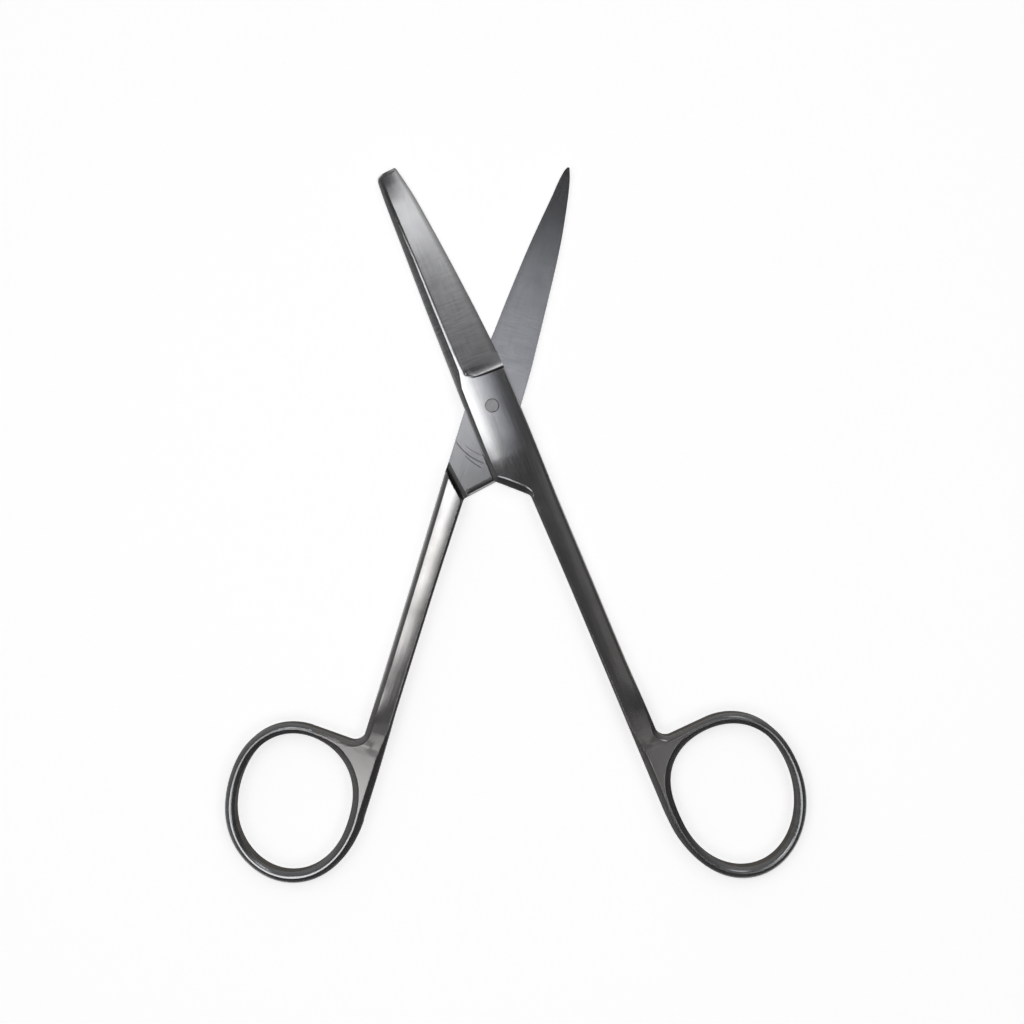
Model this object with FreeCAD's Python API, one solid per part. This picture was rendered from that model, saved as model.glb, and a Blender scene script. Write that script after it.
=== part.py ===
import FreeCAD, Part
import math
import os
from dataclasses import dataclass

# Operating scissors, sharp/blunt, straight blades.
# Two forged levers are lapped at the box and turn on a slotted screw.
# Each lever is drawn in its own frame: X towards its cutting edge, Y towards its tip,
# Z out of its outer face, with the pivot axis at the origin and the lap plane at Z = 0.
# All sizes are in millimetres and degrees.

# Forged stock and its roundings
stock_half = 2.15
rim_round = 1.1

# Box, where the two levers are lapped
box_side = 5.0
spine_taper = 1.5
box_foot_reach = 17.6
box_foot_angle = 45.0
box_corner_round = 1.5
box_foot_round = 1.2
box_height = 2.1
lap_play = 0.02
shoulder_gap = 0.3

# Shank
outer_side = 4.85
inner_side = 0.2
shank_upper_reach = 25.0
shank_upper_height = 1.98
shank_waist_reach = 46.0
shank_waist_height = 1.62
shank_fade = 9.0

# Dressed faces: crowned along the box and blade, oval along the shank
box_crown_radius = 60.0
shank_crown_radius = 3.2
side_past = 0.4

# Finger rings
ring_wall = 2.35
ring_root_wall = 2.2
ring_end_wall = 2.75
ring_rim_share = 0.47
notch_round = 1.6

# Blades: stations from the pivot towards the tip, two of them as shares of the reach
blade_root = 6.0
blade_mid_share = 0.52
blade_front_share = 0.865
blade_height_mid = 1.9
blade_height_front = 1.55
edge_land = 0.25
spine_share = 0.095
spine_fall = 0.6
ridge_share = 0.175
step_reach = 6.3
step_corner_side = 2.0
step_fade = 16.0
step_corner_round = 1.5
step_cove = 0.5
hollow_start = 8.0
hollow_depth = 0.12
hollow_tip_margin = 1.5

# Blunt lever
blunt_reach = 46.8
blunt_spine_mid = 4.35
blunt_spine_front = 3.92
blunt_spine_tip = 3.74
blunt_edge_mid = 3.46
blunt_edge_front = 1.68
blunt_edge_tip = 0.35
blunt_tip_round = 1.4
blunt_tip_height = 1.1
blunt_hole_width = 21.5
blunt_hole_length = 25.75
blunt_ring_lean = 4.0
blunt_ring_reach = 81.95
blunt_swing = 22.6

# Sharp lever
sharp_reach = 45.5
sharp_spine_mid = 3.88
sharp_spine_front = 2.08
sharp_spine_tip = 0.65
sharp_edge_mid = 3.05
sharp_edge_front = 1.2
sharp_edge_tip = -0.05
sharp_tip_height = 0.6
sharp_hole_width = 20.6
sharp_hole_length = 24.5
sharp_ring_lean = 11.5
sharp_ring_reach = 79.3
sharp_swing = 17.3

# Pivot screw
thread_diameter = 2.5
thread_clearance = 0.01
journal_diameter = 3.2
journal_clearance = 0.03
head_diameter = 4.8
head_depth = 0.9
head_side_gap = 0.05
head_sink = 0.05
end_sink = 0.05
slot_width = 0.7
slot_depth = 0.5
slot_turn = 35.0
screw_chamfer = 0.12

# How far cutting tools reach past the material that they remove
over = 3.0
clear = 4 * over
tip_past = 1.0

# How near two places count as one
same_place = 0.001


@dataclass
class LeverSizes:
    """The sizes in which the two levers differ."""

    reach: float
    spine_mid: float
    spine_front: float
    spine_tip: float
    edge_mid: float
    edge_front: float
    edge_tip: float
    tip_round: float
    tip_height: float
    hole_width: float
    hole_length: float
    ring_lean: float
    ring_reach: float

    @property
    def mid(self):
        """Station at the middle of the blade."""
        return blade_mid_share * self.reach

    @property
    def front(self):
        """Station where the blade begins to roll down to its tip."""
        return blade_front_share * self.reach


BLUNT = LeverSizes(
    reach=blunt_reach,
    spine_mid=blunt_spine_mid,
    spine_front=blunt_spine_front,
    spine_tip=blunt_spine_tip,
    edge_mid=blunt_edge_mid,
    edge_front=blunt_edge_front,
    edge_tip=blunt_edge_tip,
    tip_round=blunt_tip_round,
    tip_height=blunt_tip_height,
    hole_width=blunt_hole_width,
    hole_length=blunt_hole_length,
    ring_lean=blunt_ring_lean,
    ring_reach=blunt_ring_reach,
)

SHARP = LeverSizes(
    reach=sharp_reach,
    spine_mid=sharp_spine_mid,
    spine_front=sharp_spine_front,
    spine_tip=sharp_spine_tip,
    edge_mid=sharp_edge_mid,
    edge_front=sharp_edge_front,
    edge_tip=sharp_edge_tip,
    tip_round=0.0,
    tip_height=sharp_tip_height,
    hole_width=sharp_hole_width,
    hole_length=sharp_hole_length,
    ring_lean=sharp_ring_lean,
    ring_reach=sharp_ring_reach,
)


def vec(x, y, z=0.0):
    return FreeCAD.Vector(x, y, z)


def line(start, end):
    return Part.LineSegment(start, end).toShape()


def polygon(points):
    return Part.makePolygon(points + points[:1])


def prism(wire, low, high):
    """A solid from a flat wire in the XY plane, from Z = low to Z = high."""
    face = Part.Face(wire)
    face.translate(vec(0, 0, low))
    return face.extrude(vec(0, 0, high - low))


def smooth_edge(points):
    """One smooth edge through the points."""
    curve = Part.BSplineCurve()
    curve.interpolate(points)
    return curve.toShape()


def upright_edges_at(solid, point):
    """The edges parallel to Z that stand on a point of the outline."""
    found = []
    for edge in solid.Edges:
        ends = [vertex.Point for vertex in edge.Vertexes]
        if len(ends) == 2 and all(vec(p.x - point.x, p.y - point.y).Length < same_place for p in ends):
            found.append(edge)
    return found


def spine_at_box(y):
    """X of the straight spine side of the box at a station Y."""
    return -box_side + y * math.tan(math.radians(spine_taper))


def box_foot(y_shift=0.0):
    """Ends of the slanted box foot: at the spine side, then at the shank's inner side."""
    slope = math.tan(math.radians(box_foot_angle))
    inner = vec(inner_side, -box_foot_reach - inner_side * slope + y_shift)
    taper = math.tan(math.radians(spine_taper))
    y = (inner.y + (box_side + inner_side) * slope) / (1 + taper * slope)
    return vec(spine_at_box(y), y), inner


# Finger ring ovals

def oval(centre, half_width, half_length, lean):
    """An ellipse whose long axis leans towards +X at its upper end."""
    angle = math.radians(lean)
    along = vec(math.sin(angle), math.cos(angle))
    across = vec(-math.cos(angle), math.sin(angle))
    return Part.Ellipse(centre + along * half_length, centre + across * half_width, centre)


def oval_left(half_width, half_length, lean):
    """Curve parameter of the oval's point furthest towards -X."""
    angle = math.radians(lean)
    return math.atan2(half_width * math.cos(angle), -half_length * math.sin(angle))


def oval_top(half_width, half_length, lean):
    """Curve parameter of the oval's point furthest towards +Y."""
    angle = math.radians(lean)
    return math.atan2(half_width * math.sin(angle), half_length * math.cos(angle))


def ring_outside(size):
    """The ring's outer ellipse, and where it touches the shank's inner side and the web."""
    half_width = size.hole_width / 2 + ring_wall
    half_length = (size.hole_length + ring_root_wall + ring_end_wall) / 2
    angle = math.radians(size.ring_lean)
    reach_x = math.hypot(half_width * math.cos(angle), half_length * math.sin(angle))
    centre = vec(inner_side + reach_x, -size.ring_reach)
    outside = oval(centre, half_width, half_length, size.ring_lean)
    left = oval_left(half_width, half_length, size.ring_lean)
    top = oval_top(half_width, half_length, size.ring_lean)
    return outside, left, top


def ring_hole(size):
    """The hole's ellipse, nearer to the web than to the ring's far end."""
    angle = math.radians(size.ring_lean)
    along = vec(math.sin(angle), math.cos(angle))
    outside = ring_outside(size)[0]
    centre = outside.Center + along * ((ring_end_wall - ring_root_wall) / 2)
    return oval(centre, size.hole_width / 2, size.hole_length / 2, size.ring_lean)


def web_line(size):
    """Y of the web's edge beside the shank."""
    outside, left, top = ring_outside(size)
    return outside.value(top).y


# Blade outlines

def spine_points(size):
    """The spine from the box to past the tip."""
    tip_slope = (size.spine_front - size.spine_tip) / (size.reach - size.front)
    return [
        vec(spine_at_box(blade_root), blade_root),
        vec(-size.spine_mid, size.mid),
        vec(-size.spine_front, size.front),
        vec(-size.spine_tip, size.reach),
        vec(-size.spine_tip + over * tip_slope, size.reach + over),
    ]


def edge_points(size):
    """The cutting edge from its root to the tip."""
    return [
        vec(outer_side, blade_root),
        vec(size.edge_mid, size.mid),
        vec(size.edge_front, size.front),
        vec(size.edge_tip, size.reach),
    ]


# The forged blank: one outline from tip to ring, rounded all round

def blank(size):
    foot_outer, foot_inner = box_foot()
    outside, left, top = ring_outside(size)
    ring_left = outside.value(left)
    ring_top = outside.value(top)
    notch = vec(outer_side, ring_top.y)
    spine = spine_points(size)
    if size.tip_round > 0:
        spine = spine[:-1]
    end_left = spine[-1]
    end_right = vec(outer_side, end_left.y)
    outline = [
        smooth_edge(spine[::-1]),
        line(spine[0], foot_outer),
        line(foot_outer, foot_inner),
        line(foot_inner, ring_left),
        Part.Arc(outside, left, 2 * math.pi + top).toShape(),
        line(ring_top, notch),
        line(notch, end_right),
        line(end_right, end_left),
    ]
    solid = prism(Part.Wire(outline), -stock_half, stock_half)
    solid = solid.makeFillet(box_corner_round, upright_edges_at(solid, foot_outer))
    solid = solid.makeFillet(box_foot_round, upright_edges_at(solid, foot_inner))
    solid = solid.makeFillet(notch_round, upright_edges_at(solid, notch))
    if size.tip_round > 0:
        solid = solid.makeFillet(size.tip_round, upright_edges_at(solid, end_left))
    hole = Part.Wire([ring_hole(size).toShape()])
    solid = solid.cut(prism(hole, -stock_half - over, stock_half + over))
    rims = [edge for edge in solid.Edges if abs(abs(edge.CenterOfMass.z) - stock_half) < same_place]
    return solid.makeFillet(min(rim_round, ring_rim_share * ring_root_wall), rims)


# Dressed faces: crowned along the box and blade, oval along the shank

def crown_bar(start, end, middle, half, radius):
    """Everything above a crown that runs straight from (Y, height) to (Y, height)."""
    y, height = start
    side = height - crown_fall(half, radius)
    high = stock_half + clear
    low_left = vec(middle - half, y, side)
    low_right = vec(middle + half, y, side)
    high_left = vec(middle - half, y, high)
    high_right = vec(middle + half, y, high)
    profile = Part.Wire([
        Part.Arc(low_left, vec(middle, y, height), low_right).toShape(),
        line(low_right, high_right),
        line(high_right, high_left),
        line(high_left, low_left),
    ])
    return Part.Face(profile).extrude(vec(0, end[0] - y, end[1] - height))


def crown_fall(half, radius):
    """How far a crown falls from its middle to its sides."""
    return radius - math.sqrt(radius ** 2 - half ** 2)


def box_bars(size):
    """The crown from the box foot to past the tip."""
    half = (box_side + outer_side) / 2 + side_past
    path = [
        (-box_foot_reach - over, box_height),
        (blade_root, box_height),
        (size.mid, blade_height_mid),
        (size.front, blade_height_front),
        (size.reach + over, size.tip_height),
    ]
    return [crown_bar(a, b, 0.0, half, box_crown_radius) for a, b in zip(path, path[1:])]


def shank_bars(size):
    """The oval face of the shank: it fades into the box above and into the web below."""
    middle = (outer_side + inner_side) / 2
    half = (outer_side - inner_side) / 2 + side_past
    faded = stock_half + crown_fall(half, shank_crown_radius)
    path = [
        (-box_foot_reach + shank_fade, faded),
        (-shank_upper_reach, shank_upper_height),
        (-shank_waist_reach, shank_waist_height),
        (web_line(size) + notch_round, faded),
    ]
    return [crown_bar(a, b, middle, half, shank_crown_radius) for a, b in zip(path, path[1:])]


def blade_stations(size):
    """Y, spine X, edge X and outer height, from the box foot to past the tip."""
    below = -box_foot_reach - over
    return [
        (below, spine_at_box(below), outer_side, box_height),
        (blade_root, spine_at_box(blade_root), outer_side, box_height),
        (size.mid, -size.spine_mid, size.edge_mid, blade_height_mid),
        (size.front, -size.spine_front, size.edge_front, blade_height_front),
        (size.reach, -size.spine_tip, size.edge_tip, size.tip_height),
    ]


def sloping_tool(lows, highs):
    """Everything above the smooth slope that spans two lines running along the blade."""
    slope = Part.makeRuledSurface(smooth_edge(lows), smooth_edge(highs))
    return slope.extrude(vec(0, 0, clear))


def carried_on(points):
    """The points, and one a little past the last so that a tool clears the tip."""
    step = points[-1] - points[-2]
    return points + [points[-1] + step * (tip_past / step.Length)]


def spine_tool(size):
    """The spine's sloping strip, from the box foot to past the tip."""
    lows = []
    highs = []
    for y, spine, edge, height in blade_stations(size):
        strip = spine_share * (edge - spine)
        slope = height * (1 - spine_fall) / strip
        lows.append(vec(spine - side_past, y, height * spine_fall - side_past * slope))
        highs.append(vec(spine + strip + side_past, y, height + side_past * slope))
    return sloping_tool(carried_on(lows), carried_on(highs))


# Lap: the half of the box that the other lever fills

def lap_tool():
    """Everything behind the lap plane and above the slanted shoulder."""
    outer, inner = box_foot(-shoulder_gap / math.cos(math.radians(box_foot_angle)))
    slope = (outer - inner) * (1 / (outer - inner).Length)
    reach = box_width_past()
    low = vec(-inner.x, inner.y) - vec(-slope.x, slope.y) * reach
    high = vec(-outer.x, outer.y) + vec(-slope.x, slope.y) * reach
    far = blunt_reach + sharp_reach
    outline = polygon([low, high, vec(high.x, far), vec(-high.x, far), vec(-high.x, low.y)])
    solid = prism(outline, -stock_half - over, lap_play / 2)
    shoulder_middle = (low + high) * 0.5 + vec(0, 0, lap_play / 2)
    shoulder = [
        edge for edge in solid.Edges
        if (edge.CenterOfMass - shoulder_middle).Length < same_place
    ]
    return solid.makeFillet(shoulder_gap, shoulder)


def box_width_past():
    """A length that carries a tool clear past the box."""
    return box_side + outer_side + over


# Blade

def edge_tool(size):
    """What lies past the cutting edge, and past the point of a pointed blade."""
    points = edge_points(size)
    tip = points[-1]
    right = outer_side + over
    top = size.reach + 2 * over
    outline = [smooth_edge(points)]
    if size.tip_round > 0:
        outline.append(line(tip, vec(tip.x, top)))
        outline.append(line(vec(tip.x, top), vec(right, top)))
    else:
        left = -box_side - over
        outline.append(line(tip, vec(left, tip.y)))
        outline.append(line(vec(left, tip.y), vec(left, top)))
        outline.append(line(vec(left, top), vec(right, top)))
    outline.append(line(vec(right, top), vec(right, blade_root)))
    outline.append(line(vec(right, blade_root), points[0]))
    return prism(Part.Wire(outline), -stock_half - over, stock_half + over)


def grind_tool(size):
    """The ground face from ridge to edge, with its step at the box."""
    lows = []
    highs = []
    for y, spine, edge, height in blade_stations(size):
        strip = ridge_share * (edge - spine)
        slope = (height - edge_land) / (edge - spine - strip)
        highs.append(vec(spine - side_past, y, height + (strip + side_past) * slope))
        lows.append(vec(edge + side_past, y, edge_land - side_past * slope))
    ground = sloping_tool(carried_on(highs), carried_on(lows))
    corner = vec(-step_corner_side, step_reach)
    left = -box_side - over / 2
    right = outer_side + over / 2
    end = size.reach + over
    plan = polygon([
        corner,
        vec(right, step_reach),
        vec(right, end),
        vec(left, end),
        vec(left, step_reach + step_fade),
    ])
    column = prism(plan, -over, clear)
    column = column.makeFillet(step_corner_round, upright_edges_at(column, corner))
    tool = column.common(ground)
    foot = [
        edge for edge in tool.Edges
        if abs(edge.CenterOfMass.y - step_reach) < same_place and edge.BoundBox.ZMin < box_height
        and edge.BoundBox.XLength > step_corner_side
    ]
    return tool.makeFillet(step_cove, foot)


def hollow_tool(size):
    """A shallow arched bar that relieves the blade's inner face between box and tip."""
    left = -box_side - over
    start = hollow_start
    end = size.reach - hollow_tip_margin
    low = vec(left, start, lap_play / 2)
    high = vec(left, end, lap_play / 2)
    crest = vec(left, (start + end) / 2, lap_play / 2 + hollow_depth)
    below = vec(0, 0, over)
    profile = Part.Wire([
        Part.Arc(low, crest, high).toShape(),
        line(high, high - below),
        line(high - below, low - below),
        line(low - below, low),
    ])
    return Part.Face(profile).extrude(vec(outer_side - left + over, 0, 0))


# Levers

def lever(size):
    """A lever in its own frame, before the pivot hole."""
    solid = blank(size)
    shank = shank_bars(size)
    solid = solid.cut(shank + [bar.mirror(vec(0, 0, 0), vec(0, 0, 1)) for bar in shank])
    solid = solid.cut(lap_tool())
    solid = solid.cut(box_bars(size))
    for tool in (edge_tool(size), spine_tool(size), grind_tool(size), hollow_tool(size)):
        solid = solid.cut(tool)
    return solid


def blunt_lever():
    """The front lever: the screw is threaded into it and filed flush."""
    hole = Part.makeCylinder(thread_diameter / 2 + thread_clearance, stock_half + over)
    solid = lever(BLUNT).cut(hole)
    solid.rotate(vec(0, 0), vec(0, 0, 1), blunt_swing)
    return solid


def sharp_lever():
    """The rear lever: it turns on the screw's journal, with the head let into its face."""
    journal = Part.makeCylinder(journal_diameter / 2 + journal_clearance, stock_half + over)
    seat_floor = head_underside() - lap_play
    seat = Part.makeCylinder(head_diameter / 2 + head_side_gap, over, vec(0, 0, seat_floor))
    solid = lever(SHARP).cut(journal).cut(seat)
    solid.rotate(vec(0, 0), vec(0, 1, 0), 180)
    solid.rotate(vec(0, 0), vec(0, 0, 1), -sharp_swing)
    return solid


# Pivot screw

def head_underside():
    """Distance of the screw head's bearing face from the lap plane."""
    return box_height - head_sink - head_depth


def pivot_screw():
    """Slotted head at the back, journal through the rear lever, thread in the front one."""
    top = -head_underside()
    head = Part.makeCylinder(head_diameter / 2, head_depth, vec(0, 0, top - head_depth))
    head = head.makeChamfer(screw_chamfer, [head.Edges[rim_index(head, top - head_depth)]])
    journal = Part.makeCylinder(journal_diameter / 2, lap_play / 2 - top, vec(0, 0, top))
    thread_end = box_height - end_sink
    thread = Part.makeCylinder(thread_diameter / 2, thread_end - lap_play / 2, vec(0, 0, lap_play / 2))
    thread = thread.makeChamfer(screw_chamfer, [thread.Edges[rim_index(thread, thread_end)]])
    slot_length = head_diameter + over
    slot = Part.makeBox(slot_length, slot_width, slot_depth + over)
    slot.translate(vec(-slot_length / 2, -slot_width / 2, top - head_depth - over))
    slot.rotate(vec(0, 0), vec(0, 0, 1), slot_turn)
    return head.fuse([journal, thread]).removeSplitter().cut(slot)


def rim_index(solid, height):
    """Index of the circular edge at a height."""
    for index, edge in enumerate(solid.Edges):
        if edge.Closed and abs(edge.CenterOfMass.z - height) < same_place:
            return index
    raise ValueError("no rim at this height")


PIECES = {
    "blunt_lever": blunt_lever,
    "sharp_lever": sharp_lever,
    "pivot_screw": pivot_screw,
}

os.makedirs("parts", exist_ok=True)
for name, make in PIECES.items():
    piece = make()
    if len(piece.Solids) != 1 or not piece.isValid():
        raise ValueError(name + " isn't one sound solid")
    piece.Solids[0].exportStep("parts/" + name + ".step")
    print(name, round(piece.Volume, 1), "mm3")
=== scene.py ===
"""Looks of a pair of operating scissors, sharp and blunt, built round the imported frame."""

import logging
import math
from collections.abc import Callable
from dataclasses import dataclass, field
from enum import Enum

import bmesh
import bpy
import numpy as np
from mathutils import Matrix, Vector
from mathutils.geometry import tessellate_polygon

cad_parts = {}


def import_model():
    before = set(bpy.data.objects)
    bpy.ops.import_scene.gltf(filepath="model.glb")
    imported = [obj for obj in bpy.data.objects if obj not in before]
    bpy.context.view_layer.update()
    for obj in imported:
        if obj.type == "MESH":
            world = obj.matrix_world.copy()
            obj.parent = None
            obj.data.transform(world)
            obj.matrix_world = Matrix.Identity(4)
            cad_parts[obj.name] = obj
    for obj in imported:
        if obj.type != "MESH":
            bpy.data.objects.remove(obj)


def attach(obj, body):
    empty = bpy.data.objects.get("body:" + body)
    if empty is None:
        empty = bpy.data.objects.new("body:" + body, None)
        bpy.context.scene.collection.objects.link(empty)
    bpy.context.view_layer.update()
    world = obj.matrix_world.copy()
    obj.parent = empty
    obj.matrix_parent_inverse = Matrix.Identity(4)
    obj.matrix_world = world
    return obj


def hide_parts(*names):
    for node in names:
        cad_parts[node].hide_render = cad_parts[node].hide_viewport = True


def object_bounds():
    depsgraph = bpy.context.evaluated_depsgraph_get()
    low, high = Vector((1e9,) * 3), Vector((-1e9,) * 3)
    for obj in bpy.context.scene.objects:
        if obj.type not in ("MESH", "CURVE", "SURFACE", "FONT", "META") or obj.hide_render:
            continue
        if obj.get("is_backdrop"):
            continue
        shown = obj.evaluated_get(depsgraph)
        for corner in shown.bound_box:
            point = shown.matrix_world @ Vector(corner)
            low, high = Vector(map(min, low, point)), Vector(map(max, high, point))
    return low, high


LOG = logging.getLogger("operating_scissors")
MM = 0.001
ALONG = "along"
ACROSS = "across"
SIDE = "side"
GRAIN_UV = "grain"
GRAIN_SPAN = 100.0
WALL_TILT = 0.74
WALL_FADE = 0.3
SMOOTH_ANGLE = math.radians(33)

Point = tuple[float, float]
Table = tuple[Point, ...]
Tone = tuple[float, float, float]
Socket = bpy.types.NodeSocket
Vertex = bmesh.types.BMVert


class Side(Enum):
    """The two long sides of a lever's outline."""

    SPINE = "spine"
    EDGE = "edge"


def curve_through(table: Table, at: np.ndarray) -> np.ndarray:
    """Reads a smooth curve without overshoot through a table of stations.

    Args:
        table: (station, value) pairs in rising order of station.
        at: The stations to read the curve at.

    Returns:
        The values, held level past both ends of the table.
    """
    x = np.array([row[0] for row in table], float)
    y = np.array([row[1] for row in table], float)
    step = np.diff(x)
    slope = np.diff(y) / step
    bend = np.zeros(len(x))
    if len(x) > 2:
        same = slope[:-1] * slope[1:] > 0
        w1 = 2 * step[1:] + step[:-1]
        w2 = step[1:] + 2 * step[:-1]
        safe_a = np.where(same, slope[:-1], 1.0)
        safe_b = np.where(same, slope[1:], 1.0)
        bend[1:-1] = np.where(same, (w1 + w2) / (w1 / safe_a + w2 / safe_b), 0.0)
    bend[0], bend[-1] = slope[0], slope[-1]
    at = np.clip(np.asarray(at, float), x[0], x[-1])
    i = np.clip(np.searchsorted(x, at, side="right") - 1, 0, len(step) - 1)
    t = (at - x[i]) / step[i]
    return (
        (2 * t**3 - 3 * t**2 + 1) * y[i]
        + (t**3 - 2 * t**2 + t) * step[i] * bend[i]
        + (3 * t**2 - 2 * t**3) * y[i + 1]
        + (t**3 - t**2) * step[i] * bend[i + 1]
    )


def side_line(table: Table, spacing: float = 0.4) -> np.ndarray:
    """Draws a long side of the outline from a table of (Y, X).

    Args:
        table: (Y, X) pairs in rising order of Y.
        spacing: Distance between points, in millimetres.

    Returns:
        Points from the highest Y to the lowest.
    """
    count = max(2, int((table[-1][0] - table[0][0]) / spacing))
    y = np.linspace(table[-1][0], table[0][0], count)
    return np.column_stack([curve_through(table, y), y])


def lengths(points: np.ndarray) -> np.ndarray:
    """Length along a line of points, from its first point to each point."""
    return np.concatenate([[0.0], np.cumsum(np.linalg.norm(np.diff(points, axis=0), axis=1))])


def place_on(points: np.ndarray, at: np.ndarray) -> np.ndarray:
    """Places on a line of points at the given lengths along it."""
    s = lengths(points)
    return np.column_stack([np.interp(at, s, points[:, i]) for i in range(2)])


def rounded(runs: list[np.ndarray], radii: list[float]) -> np.ndarray:
    """Joins lines of points end to end and rounds each corner between them.

    Args:
        runs: Lines of points, each starting where the one before it ends.
        radii: Corner radius between each pair of lines, in millimetres.

    Returns:
        One line of points.
    """
    runs = [run.copy() for run in runs]
    arcs = []
    for i, radius in enumerate(radii):
        before, after = runs[i], runs[i + 1]
        corner = after[0]
        d_in = corner - place_on(before, np.array([lengths(before)[-1] - radius]))[0]
        d_out = place_on(after, np.array([radius]))[0] - corner
        d_in, d_out = d_in / np.linalg.norm(d_in), d_out / np.linalg.norm(d_out)
        turn = math.atan2(d_in[0] * d_out[1] - d_in[1] * d_out[0], float(d_in @ d_out))
        trim = radius * math.tan(abs(turn) / 2)
        runs[i] = cut_run(before, 0.0, lengths(before)[-1] - trim)
        runs[i + 1] = cut_run(after, trim, lengths(after)[-1])
        start = runs[i][-1]
        side = math.copysign(1.0, turn)
        normal = np.array([-d_in[1], d_in[0]]) * side
        centre = start + normal * radius
        steps = max(4, int(abs(math.degrees(turn)) / 6))
        angles = np.linspace(0, turn, steps + 1)[1:-1]
        spoke = start - centre
        across = np.array([-spoke[1], spoke[0]])
        arcs.append(centre + np.cos(angles)[:, None] * spoke + np.sin(angles)[:, None] * across)
    pieces = [runs[0]]
    for arc, run in zip(arcs, runs[1:]):
        pieces += [arc, run]
    return np.vstack(pieces)


def cut_run(points: np.ndarray, start: float, end: float) -> np.ndarray:
    """Keeps the part of a line of points between two lengths along it."""
    s = lengths(points)
    inner = points[(s > start + 1e-6) & (s < end - 1e-6)]
    return np.vstack([place_on(points, np.array([start])), inner, place_on(points, np.array([end]))])


def inward(points: np.ndarray, reach: float = 0.14) -> np.ndarray:
    """Unit normals to the left of a closed outline, read over a short reach each way."""
    loop = np.vstack([points, points[:1]])
    s = lengths(loop)
    total, s = s[-1], s[:-1]
    ahead = place_on(loop, (s + reach) % total)
    behind = place_on(loop, (s - reach) % total)
    run = ahead - behind
    run /= np.linalg.norm(run, axis=1)[:, None]
    return np.column_stack([-run[:, 1], run[:, 0]])


@dataclass(frozen=True)
class Loop:
    """A smooth closed outline round a middle, through radii at equal angles from +X."""

    centre: Point
    radii: tuple[float, ...]

    def at(self, angle: np.ndarray) -> np.ndarray:
        """Points at the given angles, which run counter-clockwise from +X."""
        terms = np.fft.rfft(self.radii) / len(self.radii)
        radius = np.full(len(angle), terms[0].real)
        for k in range(1, len(terms)):
            share = 1.0 if 2 * k == len(self.radii) else 2.0
            radius += share * (terms[k].real * np.cos(k * angle) - terms[k].imag * np.sin(k * angle))
        return np.array(self.centre) + radius[:, None] * np.column_stack([np.cos(angle), np.sin(angle)])

    def furthest(self, x: float, y: float) -> float:
        """Angle of the point furthest in a direction, from 0 to a full turn."""
        angle = np.linspace(0, 2 * math.pi, 7201)
        return float(angle[np.argmax(self.at(angle) @ np.array([x, y]))])

    def top(self) -> float:
        """Angle of the point furthest towards +Y."""
        return self.furthest(0.0, 1.0)

    def left(self) -> float:
        """Angle of the point furthest towards -X."""
        return self.furthest(-1.0, 0.0)


@dataclass(frozen=True)
class Rim:
    """The rounding from a side wall to a face, one value a point of the outline.

    From the face the metal curves down to a slope, and a small corner leads into the wall.
    """

    width: np.ndarray
    slope: np.ndarray
    crest: np.ndarray
    corner: np.ndarray
    arc_count: int = 8
    corner_count: int = 4

    def offsets(self) -> tuple[np.ndarray, np.ndarray]:
        """Distance in from the wall, and fall below the face, from the wall to the face.

        Returns:
            Two arrays, one row a point of the outline and one column a step of the rounding.
        """
        width, slope, crest, corner = (v[:, None] for v in (self.width, self.slope, self.crest, self.corner))
        steep = np.arctan(slope)
        reach = width - corner * (1 - np.sin(steep))
        depth = slope * reach / crest + corner * np.cos(steep)
        turn = np.linspace(0, 1, self.corner_count + 1)[None, :-1]
        tilt = math.pi / 2 + (steep - math.pi / 2) * turn
        corner_in, corner_fall = corner * (1 - np.sin(tilt)), depth - corner * np.cos(tilt)
        share = np.tan(steep * np.linspace(1, 0, self.arc_count + 1)[None, :]) / np.maximum(slope, 1e-6)
        away = reach * share ** (1 / (crest - 1))
        arc_fall = slope * reach / crest * (away / np.maximum(reach, 1e-6)) ** crest
        return np.hstack([corner_in, width - away]), np.hstack([corner_fall, arc_fall])


@dataclass(frozen=True)
class Outline:
    """A lever's closed outline, and where each of its runs starts.

    It runs down the spine side, round the ring, up the edge side and over the tip.
    """

    plan: np.ndarray
    web_start: int
    ring_start: int
    ring_end: int
    edge_start: int
    tip_start: int


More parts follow.
